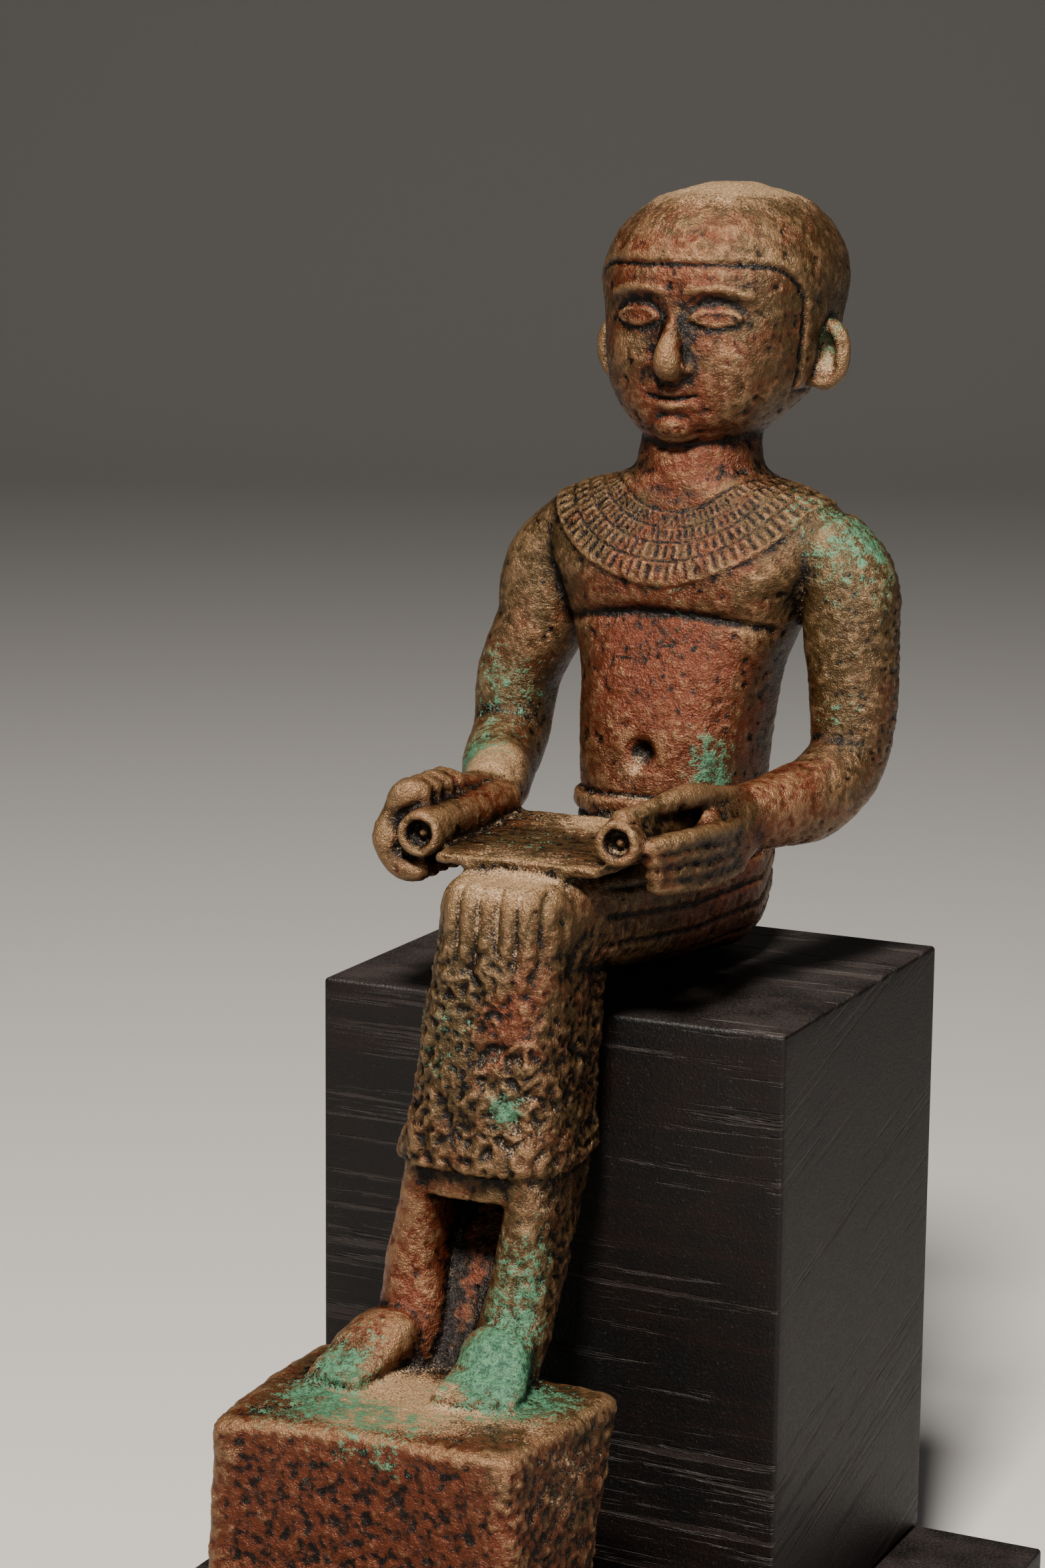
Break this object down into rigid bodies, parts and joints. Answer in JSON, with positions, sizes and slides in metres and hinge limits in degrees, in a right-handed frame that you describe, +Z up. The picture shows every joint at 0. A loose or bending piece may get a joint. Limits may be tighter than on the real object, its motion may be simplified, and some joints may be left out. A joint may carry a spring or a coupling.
{
  "type": "seated bronze figurine",
  "caption": "Small cast bronze figure of a seated scribe with a papyrus unrolled over the lap, feet on a block, on a black wooden stand.",
  "frame": {"origin": "in the plane of the stand's underside, below the middle of the whole piece", "axes": "+Z up, the figure faces -Y, its own left hand is on the +X side"},
  "size_m": [0.078, 0.0942, 0.1534],
  "materials": {
    "bronze": "corroded cast bronze, red-brown with green and tan patches, semi-gloss on high spots",
    "black_wood": "black satin paint over wood, dusty"
  },
  "bodies": {
    "root": {"stand_slab": "black_wood", "seat_block": "black_wood", "figurine": "bronze"}
  },
  "joints": []
}
